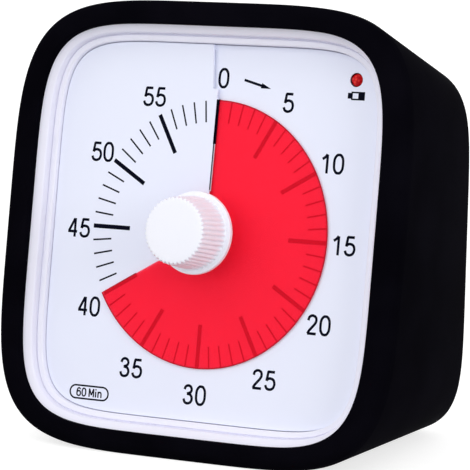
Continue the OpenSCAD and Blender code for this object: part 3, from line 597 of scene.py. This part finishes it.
def stroke(line, width, closed):
    """Flat stroke of even width along a line of points."""
    rings, count = [], len(line)
    for i, point in enumerate(line):
        before = line[(i - 1) % count] if closed or i else point
        after = line[(i + 1) % count] if closed or i < count - 1 else point
        along = (after - before).normalized()*width/2
        rings.append([Vector((point.x - side*along.y, point.y + side*along.x, z))
                      for side, z in ((-1, -flat_t), (1, -flat_t), (1, flat_t), (-1, flat_t))])
    return lofted("stroke", rings, capped=not closed)


def joined(pieces, name):
    """Makes one piece of several."""
    bpy.ops.object.select_all(action="DESELECT")
    for part in pieces:
        part.select_set(True)
    bpy.context.view_layer.objects.active = pieces[0]
    if len(pieces) > 1:
        bpy.ops.object.join()
    pieces[0].name = pieces[0].data.name = name
    return pieces[0]


def letter(name, height, line_share):
    """One letter made of its strokes. A line that ends where it starts is a ring."""
    strokes = []
    for curved, points in digit_lines[name]:
        ringed = points[0] == points[-1]
        line = [Vector(point)*height for point in (points[:-1] if ringed else points)]
        strokes.append(stroke(rounded(line, ringed) if curved else line, line_share*height, ringed))
    return joined(strokes, "letter_" + name)


def copied(piece, x):
    """Copy with a mesh of its own, x to the right."""
    twin = piece.copy()
    twin.data = piece.data.copy()
    bpy.context.scene.collection.objects.link(twin)
    twin.data.transform(Matrix.Translation((x, 0, 0)))
    return twin


def centred(piece):
    """Moves the middle of a flat piece to the origin."""
    for axis in (0, 1):
        places = [v.co[axis] for v in piece.data.vertices]
        middle = (min(places) + max(places))/2
        for vert in piece.data.vertices:
            vert.co[axis] -= middle
    return piece


prints = []
for left, inner, low, right, high in edge_marks_and_shade_line:
    prints.append(slanted((left * MM, inner * MM, low * MM), (right * MM, edge_marks_and_shade_end, high * MM),
                          slit_slant, slit_r))
for minute in range(1, 60):
    inner, width = (minute_inner_r, minute_w) if minute % 5 else (five_inner_r, five_w)
    angle = 2*math.pi*minute/60
    turn = math.atan2(math.sin(angle), scale_stretch*math.cos(angle))
    reach = (inner + mark_outer_r)/2
    mark = bar(width, mark_outer_r - inner)
    prints.append(inked(mark, reach*math.sin(turn), reach*math.cos(turn), turn))

digits = {digit: letter(digit, numeral_h, numeral_line) for digit in "012345"}
for minute, (x, y) in numerals.items():
    figures = [copied(digits[c], i*digit_pitch*numeral_h) for i, c in enumerate(str(minute))]
    prints.append(inked(centred(joined(figures, "numeral")), x * MM, y * MM))
for digit in digits.values():
    bpy.data.objects.remove(digit)

arrow_run = arrow_to - arrow_from
arrow_turn = math.atan2(arrow_run.x, arrow_run.y)
shaft_l = arrow_run.length - arrow_head_under
shaft_at = arrow_from.lerp(arrow_to, shaft_l/2/arrow_run.length)
prints.append(inked(bar(arrow_w, shaft_l), *shaft_at, arrow_turn))
head = bar(arrow_head_w, arrow_head_l)
for vert in head.data.vertices:
    vert.co.x *= arrow_tip_share if vert.co.y > 0 else arrow_foot_share
prints.append(inked(head, *arrow_to.lerp(arrow_from, arrow_head_at), arrow_turn))

for x, y, width, height in battery_bars:
    prints.append(inked(bar(width * MM, height * MM), battery_x + x * MM, battery_y + y * MM))


def pill_ring(inset, z):
    """Outline with two straight sides and two half-round ends."""
    r = pill_h/2 - inset
    reach = pill_w/2 - pill_h/2
    ring = [Vector((reach + r*math.cos(a), r*math.sin(a), z)) for a in arc(-90, 90, 16)]
    return ring + [Vector((-reach - r*math.cos(a), -r*math.sin(a), z)) for a in arc(-90, 90, 16)]


pill = lofted("pill", [pill_ring(0, -flat_t), pill_ring(0, flat_t), pill_ring(pill_line, flat_t),
                       pill_ring(pill_line, -flat_t)])
prints.append(inked(pill, pill_x, pill_y))
letters = []
for name, start in small_text:
    small = letter(name, small_h, small_line)
    small.data.transform(Matrix.Translation((start*small_h, 0, 0)))
    letters.append(small)
prints.append(inked(centred(joined(letters, "range")), pill_x, pill_y))

dial_print = joined(prints, "dial_print")
edit(dial_print)
bpy.ops.mesh.normals_make_consistent(inside=False)
bpy.ops.object.mode_set(mode="OBJECT")
dial_print.data.transform(face_frame)

ink, ink_shader = new_material("black screen ink", (0.001, 0.0015, 0.008), roughness=0.6, specular=0.03)
mottle = pattern(ink, "ShaderNodeTexNoise", scale=2500, Detail=2)
tinted(ink, ink_shader, graded(ink, mottle.outputs["Fac"], 0.35, 0.65, 0, 1),
       dark=(0.0007, 0.001, 0.006), light=(0.0013, 0.002, 0.01))
raised(ink, ink_shader, mottle.outputs["Fac"], strength=0.1, depth=0.01 * MM)
dress(dial_print, ink)
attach(dial_print, "case")

# ---- Red disc ----
# A 0.2 mm disc of clear red PVC film on the spindle's hub, cut along one radius. It is a turn of the same screw as
# the dial. The marks under it show as a darker red. A painted dark band just inside its rim stands in for shade at
# the cut edge, and a faint painted glow lifts its red.

disc_t = 0.2 * MM
disc_soft = 0.06 * MM           # radius of its edge
disc_inner_r = 5 * MM
disc_end = 240/360              # leading edge at rest, as a share of a turn
disc_steps = 240


def disc_section(turn):
    """The film at a share of a turn."""
    top, bottom = slit_rise*turn + disc_t/2, slit_rise*turn - disc_t/2
    return [(disc_inner_r, top), (disc_r - disc_soft, top), (disc_r, top - disc_soft),
            (disc_r, bottom + disc_soft), (disc_r - disc_soft, bottom), (disc_inner_r, bottom)]


disc = swept("red_disc", disc_section, disc_end - 1, disc_end, disc_steps)
disc.data.transform(face_frame)
smooth(disc, degrees=30)

film_clarity = 0.64             # share of light that passes straight through
# painted shade: a dark band just inside the rim, standing in for shade at the cut edge
painted_rim_shade_inner_r = disc_r - 0.26 * MM
painted_rim_shade_outer_r = disc_r - 0.14 * MM
film_red, film_shader = new_material("clear red film", (0.98, 0.008, 0.036),
                                     roughness=0.45, specular=0.1)
clouded(film_red, film_shader, scale=40, dark=(0.975, 0.007, 0.034), light=(0.985, 0.009, 0.038))
grained(film_red, film_shader, scale=4200, shiny=0.4, dull=0.52, strength=0.08, depth=0.015 * MM)
# painted glow: the film is given a faint red emission, though it is no lamp
film_shader.inputs["Emission Color"].default_value = (1, 0.02, 0.05, 1)
film_shader.inputs["Emission Strength"].default_value = 0.12     # painted glow: a little light of its own lifts the red and thins the shadows on it
nodes, links = film_red.node_tree.nodes, film_red.node_tree.links
through = nodes.new("ShaderNodeBsdfTransparent")
face_place = nodes.new("ShaderNodeMapping")     # back to the face frame, to find the rim
face_place.vector_type = "TEXTURE"
face_place.inputs["Location"].default_value = dial_centre
face_place.inputs["Rotation"].default_value = (math.pi/2 - face_lean, 0, 0)
links.new(nodes.new("ShaderNodeTexCoord").outputs["Object"], face_place.inputs["Vector"])
flat = nodes.new("ShaderNodeVectorMath")
flat.operation = "MULTIPLY"
flat.inputs[1].default_value = (1, 1, 0)
links.new(face_place.outputs["Vector"], flat.inputs[0])
from_axis = nodes.new("ShaderNodeVectorMath")
from_axis.operation = "LENGTH"
links.new(flat.outputs["Vector"], from_axis.inputs[0])
# light through the film: the dye's own red, turning to painted shade near the rim
dye_and_rim_shade = nodes.new("ShaderNodeMix")
dye_and_rim_shade.data_type = "RGBA"
dye_and_rim_shade.inputs["A"].default_value = (1, 0.50, 0.59, 1)
dye_and_rim_shade.inputs["B"].default_value = (0.15, 0.02, 0.04, 1)
painted_rim_shade = graded(film_red, from_axis.outputs["Value"], painted_rim_shade_inner_r, painted_rim_shade_outer_r, 0, 1)
links.new(painted_rim_shade, dye_and_rim_shade.inputs["Factor"])
links.new(dye_and_rim_shade.outputs["Result"], through.inputs["Color"])
sight = nodes.new("ShaderNodeMixShader")
sight.inputs["Fac"].default_value = film_clarity
links.new(film_shader.outputs["BSDF"], sight.inputs[1])
links.new(through.outputs["BSDF"], sight.inputs[2])
lamps = nodes.new("ShaderNodeMixShader")        # lamplight goes through the dye alone
links.new(nodes.new("ShaderNodeLightPath").outputs["Is Shadow Ray"], lamps.inputs["Fac"])
links.new(sight.outputs["Shader"], lamps.inputs[1])
links.new(through.outputs["BSDF"], lamps.inputs[2])
links.new(lamps.outputs["Shader"], nodes["Material Output"].inputs["Surface"])
dress(disc, film_red)
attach(disc, "disc_group")
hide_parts("time_disc")

# ---- Knob ----
# The setting knob, white ABS pressed on the spindle. Fine ribs run up its taper from a thin
# flange, and its front is a shallow crown with a small radius.

knob_ribs = 44
rib_points = 10                 # points across one rib
rib_depth = 0.36 * MM
rib_power = 1.6                 # over 1, the ribs are broader than the grooves
rib_stations = (                # share of the way up the taper, and of the full depth
    (0, 0), (0.015, 0.25), (0.04, 0.8), (0.08, 1), (0.35, 1), (0.65, 1), (0.98, 1),
)
knob_back = 4.6 * MM
knob_front = 13.56 * MM
knob_flange_r = 8.07 * MM
knob_flange_t = 1.2 * MM
knob_flange_soft = 0.3 * MM
knob_foot_r = 7.18 * MM
knob_nose_r = 6.56 * MM
knob_nose_round = 0.55 * MM
knob_crown_r = 6.58 * MM
knob_crown_fall = 0.14 * MM     # from the middle of the face to its rim
knob_bore_r = 2.2 * MM
knob_bore_middle_r = 0.1 * MM
knob_boss_r = 3.6 * MM
knob_boss_l = 1.5 * MM
knob_face_t = 1.5 * MM


def knob_ring(radius, z, rib=0.0):
    """Circle with ribs that stand rib high over their grooves, drawn in from the radius."""
    count = knob_ribs*rib_points
    ring = []
    for i in range(count):
        a = 2*math.pi*i/count
        r = radius - rib*(0.5 - 0.5*math.cos(a*knob_ribs))**rib_power
        ring.append(Vector((r*math.cos(a), r*math.sin(a), z)))
    return ring


flange_side_r = knob_flange_r - knob_flange_soft
foot_z = knob_back + knob_flange_t
rib_end_z = knob_front - 0.7 * MM
knob_rings = [
    knob_ring(knob_bore_middle_r, knob_front - knob_face_t),
    knob_ring(knob_bore_r, knob_front - knob_face_t),
    knob_ring(knob_bore_r, knob_back - knob_boss_l), knob_ring(knob_boss_r, knob_back - knob_boss_l),
    knob_ring(knob_boss_r, knob_back), knob_ring(flange_side_r, knob_back),
]
knob_rings += [knob_ring(flange_side_r + knob_flange_soft*math.cos(a),
                         knob_back + knob_flange_soft*(1 + math.sin(a))) for a in arc(-60, 0, 3)]
knob_rings += [knob_ring(flange_side_r + knob_flange_soft*math.cos(a),
                         foot_z - knob_flange_soft*(1 - math.sin(a))) for a in arc(0, 90, 4)]
knob_rings += [knob_ring(knob_foot_r + (knob_nose_r - knob_foot_r)*share,
                         foot_z + (rib_end_z - foot_z)*share, rib_depth*depth)
               for share, depth in rib_stations]
knob_rings += [knob_ring(knob_nose_r - knob_nose_round*(1 - math.cos(a)),
                         rib_end_z + knob_nose_round*math.sin(a), rib_depth*math.cos(a))
               for a in arc(0, 84, 8)]
knob_rings += [knob_ring(knob_crown_r*share, knob_front - knob_crown_fall*share*share)
               for share in (0.8, 0.6, 0.35, 0.12, 0.02)]
knob = lofted("setting_knob", knob_rings, capped=True)
knob.data.transform(face_frame)
smooth(knob, degrees=50)

knob_white, knob_shader = new_material("white knob ABS", (0.87, 0.88, 0.96), roughness=0.3, specular=0.3)
clouded(knob_white, knob_shader, scale=90, dark=(0.86, 0.87, 0.955), light=(0.88, 0.89, 0.965))
grained(knob_white, knob_shader, scale=4500, shiny=0.26, dull=0.36, strength=0.06, depth=0.012 * MM)
dress(knob, knob_white)
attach(knob, "knob_group")
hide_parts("knob")

# ---- Low battery lamp ----
# A 3 mm LED of tinted epoxy in a hole of the dial. Its red is mottled with paler and darker cells, a painted
# reflection of a steel cup and post inside that are not modelled.

lens_base_z = -4.2 * MM
lens_rim_r = led_r + 0.25 * MM
lens_rim_z = lens_base_z + 0.8 * MM
lens_dome_z = -1.1 * MM         # the dome starts here
lens_tip_r = 0.02 * MM
lens_middle_r = 0.05 * MM
lens_points = 48


def lens_ring(radius, z):
    """Circle about the lamp's middle."""
    return [Vector((led_x + radius*math.cos(a), led_y + radius*math.sin(a), z))
            for a in arc(0, 360, lens_points)[:-1]]


led_rings = [lens_ring(lens_middle_r, lens_base_z), lens_ring(lens_rim_r, lens_base_z),
             lens_ring(lens_rim_r, lens_rim_z), lens_ring(led_r, lens_rim_z)]
led_rings += [lens_ring(max(led_r*math.cos(a), lens_tip_r), lens_dome_z + led_r*math.sin(a))
              for a in arc(0, 89.5, 14)]
lens = lofted("lamp_lens", led_rings, capped=True)
lens.data.transform(face_frame)
smooth(lens, degrees=50)
epoxy, epoxy_shader = new_material("red lamp epoxy", (0.62, 0.002, 0.005), roughness=0.2, specular=0.1)
# painted reflection: cells of paler and darker red stand for the cup and post seen through the lens
painted_cup_reflection = pattern(epoxy, "ShaderNodeTexVoronoi", scale=1500, Randomness=0.8)
tinted(epoxy, epoxy_shader, graded(epoxy, painted_cup_reflection.outputs["Distance"], 0.05, 0.6, 0, 1),
       dark=(0.98, 0.05, 0.04), light=(0.5, 0.0, 0.004))
dress(lens, epoxy)
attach(lens, "case")
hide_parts("low_battery_led")

lead_r = 0.25 * MM
lead_points = 16
lead_apart = 0.6 * MM           # each from the lamp's middle
lead_start_x = -0.8 * MM
lead_start_z = -3.9 * MM
lead_straight = 1.9 * MM
lead_bend = 0.6 * MM
lead_places = (0, 1.9, 2.05, 2.2, 2.35, 2.5, 2.65, 2.85, 6.2)      # mm along the wire


def lead_ring(along, y):
    """Section of a lead that leaves the lamp's foot sideways and turns back round a bend."""
    turn = min(max((along - lead_straight)/lead_bend, 0), math.pi/2)
    after = max(along - lead_straight - lead_bend*math.pi/2, 0)
    x = lead_start_x - min(along, lead_straight) - lead_bend*math.sin(turn)
    z = lead_start_z - lead_bend*(1 - math.cos(turn)) - after
    return [Vector((led_x + x - lead_r*math.sin(turn)*math.cos(a), led_y + y + lead_r*math.sin(a),
                    z + lead_r*math.cos(turn)*math.cos(a)))
            for a in arc(0, 360, lead_points)[:-1]]


def plated(name, colour, roughness):
    """Metal with fine scratches in its gloss."""
    material, shader = new_material(name, colour, roughness, metallic=1.0)
    scratch = pattern(material, "ShaderNodeTexNoise", scale=900, stretch=(1, 1, 12), Detail=4)
    gloss = graded(material, scratch.outputs["Fac"], 0.3, 0.7, roughness*0.7, roughness*1.4)
    material.node_tree.links.new(gloss, shader.inputs["Roughness"])
    tinted(material, shader, graded(material, scratch.outputs["Fac"], 0.2, 0.8, 0, 1),
           dark=[c*0.9 for c in colour], light=[min(1, c*1.06) for c in colour])
    return material


leads = joined([lofted("lead", [lead_ring(place * MM, y) for place in lead_places], capped=True)
                for y in (-lead_apart, lead_apart)], "lamp_leads")
leads.data.transform(face_frame)
smooth(leads, degrees=50)
plated_steel = plated("zinc plated steel", (0.62, 0.63, 0.66), 0.28)
dress(leads, plated_steel)
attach(leads, "case")

# ---- Rear case, movement, board and cells ----
# The rest keeps its own solids: the rear shell and battery door in the same white ABS, plated
# screws and contacts, the acetal wheels of the movement, the board and two film-wrapped cells.


def moulded(name, colour, roughness, grain_scale=3500):
    """Plastic with a faint cloud in its colour and a fine mould grain."""
    material, shader = new_material(name, colour, roughness, specular=0.4)
    clouded(material, shader, scale=70, dark=[c*0.94 for c in colour],
            light=[min(1, c*1.05) for c in colour])
    grained(material, shader, grain_scale, shiny=roughness*0.85, dull=roughness*1.15,
            strength=0.12, depth=0.02 * MM)
    return material


def banded(material, value, bands):
    """Colour that changes in steps along a value of 0 to 1."""
    ramp = material.node_tree.nodes.new("ShaderNodeValToRGB")
    ramp.color_ramp.interpolation = "CONSTANT"
    ramp.color_ramp.elements.remove(ramp.color_ramp.elements[1])
    ramp.color_ramp.elements[0].color = (*bands[0][1], 1)
    for place, colour in bands[1:]:
        ramp.color_ramp.elements.new(place).color = (*colour, 1)
    material.node_tree.links.new(value, ramp.inputs["Fac"])
    return ramp.outputs["Color"]


cell_half = 24.5 * MM           # half a cell's length, without the nub
cell_steel = (0.62, 0.63, 0.66)
cell_teal = (0.018, 0.11, 0.13)
cell_pale = (0.5, 0.53, 0.52)
wrap_from, wrap_pale_from, wrap_to = 0.012, 0.76, 0.988     # shares of the cell's length


def cell_can(name, side):
    """Steel can in printed film: a teal body, a pale band by the nub and bare ends."""
    material, shader = new_material(name, (0.02, 0.12, 0.14), roughness=0.3)
    nodes, links = material.node_tree.nodes, material.node_tree.links
    place = nodes.new("ShaderNodeSeparateXYZ")
    links.new(nodes.new("ShaderNodeTexCoord").outputs["Object"], place.inputs["Vector"])
    along = graded(material, place.outputs["X"], -side*cell_half, side*cell_half, 0, 1)
    colours = banded(material, along, ((0, cell_steel), (wrap_from, cell_teal),
                                       (wrap_pale_from, cell_pale), (wrap_to, cell_steel)))
    links.new(colours, shader.inputs["Base Color"])
    metal = banded(material, along, ((0, (1, 1, 1)), (wrap_from, (0, 0, 0)), (wrap_to, (1, 1, 1))))
    links.new(metal, shader.inputs["Metallic"])
    crease = pattern(material, "ShaderNodeTexNoise", scale=260, stretch=(0.2, 1, 1), Detail=2)
    links.new(graded(material, crease.outputs["Fac"], 0.3, 0.7, 0.26, 0.38), shader.inputs["Roughness"])
    raised(material, shader, crease.outputs["Fac"], strength=0.15, depth=0.03 * MM)
    return material


finishes = {
    "housing_plastic": abs_white,
    "disc_red": moulded("red hub ABS", (0.85, 0.03, 0.05), 0.4),
    "steel": plated_steel,
    "spring_brass": plated("contact brass", (0.78, 0.60, 0.30), 0.25),
    "copper_wire": plated("enamelled copper", (0.72, 0.34, 0.17), 0.3),
    "movement_plastic": moulded("natural ABS", (0.70, 0.71, 0.74), 0.45),
    "gear_plastic": moulded("white acetal", (0.80, 0.80, 0.78), 0.35),
    "magnet": moulded("sintered magnet", (0.09, 0.09, 0.10), 0.5, grain_scale=5000),
    "bobbin_plastic": moulded("black nylon bobbin", (0.02, 0.02, 0.024), 0.5),
    "black_plastic": moulded("black switch nylon", (0.018, 0.018, 0.022), 0.42),
    "pcb_green": moulded("green solder mask", (0.02, 0.16, 0.07), 0.3, grain_scale=1800),
}
node_slots = {part["node"]: part["material_slot"] for part in frame["record"]["subparts"]}
cell_cans = {"battery_cell_1": cell_can("low cell", 1), "battery_cell_2": cell_can("high cell", -1)}
replaced = {"protective_sleeve", "front_housing", "dial_plate", "time_disc", "knob", "low_battery_led"}
for node, piece in frame["nodes"].items():
    if node in cell_cans:
        dress(piece, cell_cans[node])
    elif node not in replaced:
        dress(piece, finishes[node_slots[node]])

# ---- Table, light and camera ----
# A pale matte table top and a white room, with one large soft lamp in front and above and a
# smaller one at the right.


def seen_ray(owner, unseen, seen):
    """Value that is higher for rays which end in the picture, direct or by way of gloss or glass."""
    nodes, links = owner.node_tree.nodes, owner.node_tree.links
    paths = nodes.new("ShaderNodeLightPath")
    total = paths.outputs["Is Camera Ray"]
    for kind in ("Is Glossy Ray", "Is Transmission Ray"):
        either = nodes.new("ShaderNodeMath")
        either.operation = "MAXIMUM"
        links.new(total, either.inputs[0])
        links.new(paths.outputs[kind], either.inputs[1])
        total = either.outputs["Value"]
    return graded(owner, total, 0, 1, unseen, seen)


table_r = 1.5
bpy.ops.object.select_all(action="DESELECT")
bpy.ops.mesh.primitive_circle_add(vertices=96, radius=table_r, fill_type="NGON")
table = bpy.context.object
table.name = "table_top"
table_white, table_shader = new_material("white table top", (0.5, 0.5, 0.5), roughness=0.6, specular=0.1)
texture = pattern(table_white, "ShaderNodeTexNoise", scale=600, Detail=3)
raised(table_white, table_shader, texture.outputs["Fac"], strength=0.05, depth=0.05 * MM)
table_shader.inputs["Emission Color"].default_value = (1, 1, 1, 1)
table_glow = seen_ray(table_white, unseen=0, seen=0.72)
table_white.node_tree.links.new(table_glow, table_shader.inputs["Emission Strength"])
dress(table, table_white)

world = bpy.data.worlds.new("white room")
bpy.context.scene.world = world
world.use_nodes = True
room = world.node_tree.nodes["Background"]
room.inputs["Color"].default_value = (1, 1, 1, 1)
world.node_tree.links.new(seen_ray(world, unseen=0.77, seen=1), room.inputs["Strength"])


def soft_lamp(name, place, size, watts):
    """Square lamp turned to the dial."""
    lamp = bpy.data.lights.new(name, "AREA")
    lamp.size = size
    lamp.energy = watts
    holder = bpy.data.objects.new(name, lamp)
    bpy.context.scene.collection.objects.link(holder)
    holder.location = place
    holder.rotation_euler = (dial_centre - Vector(place)).to_track_quat("-Z", "Y").to_euler()


soft_lamp("front_lamp", (-0.15, -1.05, 0.6), size=2.2, watts=9.8)
soft_lamp("side_lamp", (1.0, -0.4, 0.35), size=0.5, watts=2.8)

view_azimuth = math.radians(30.08)
view_elevation = math.radians(7.8)
view_distance = 582.5 * MM
frame_pixels = 470
focal_pixels = 3000
centre_pixel = (208.3, 234.3)   # where the dial's centre falls in the frame

back = Vector((math.sin(view_azimuth)*math.cos(view_elevation),
               -math.cos(view_azimuth)*math.cos(view_elevation), math.sin(view_elevation)))
right = Vector((0, 0, 1)).cross(back).normalized()
up = back.cross(right)
aim = (-back*focal_pixels + right*(frame_pixels/2 - centre_pixel[0])
       - up*(frame_pixels/2 - centre_pixel[1]))
camera = bpy.data.objects.new("camera", bpy.data.cameras.new("camera"))
bpy.context.scene.collection.objects.link(camera)
camera.data.sensor_width = 36
camera.data.lens = focal_pixels/frame_pixels*camera.data.sensor_width
camera.data.clip_start = 10 * MM
camera.location = dial_centre + back*view_distance
camera.rotation_euler = aim.to_track_quat("-Z", "Y").to_euler()
bpy.context.scene.camera = camera
bpy.context.scene.view_settings.view_transform = "Standard"
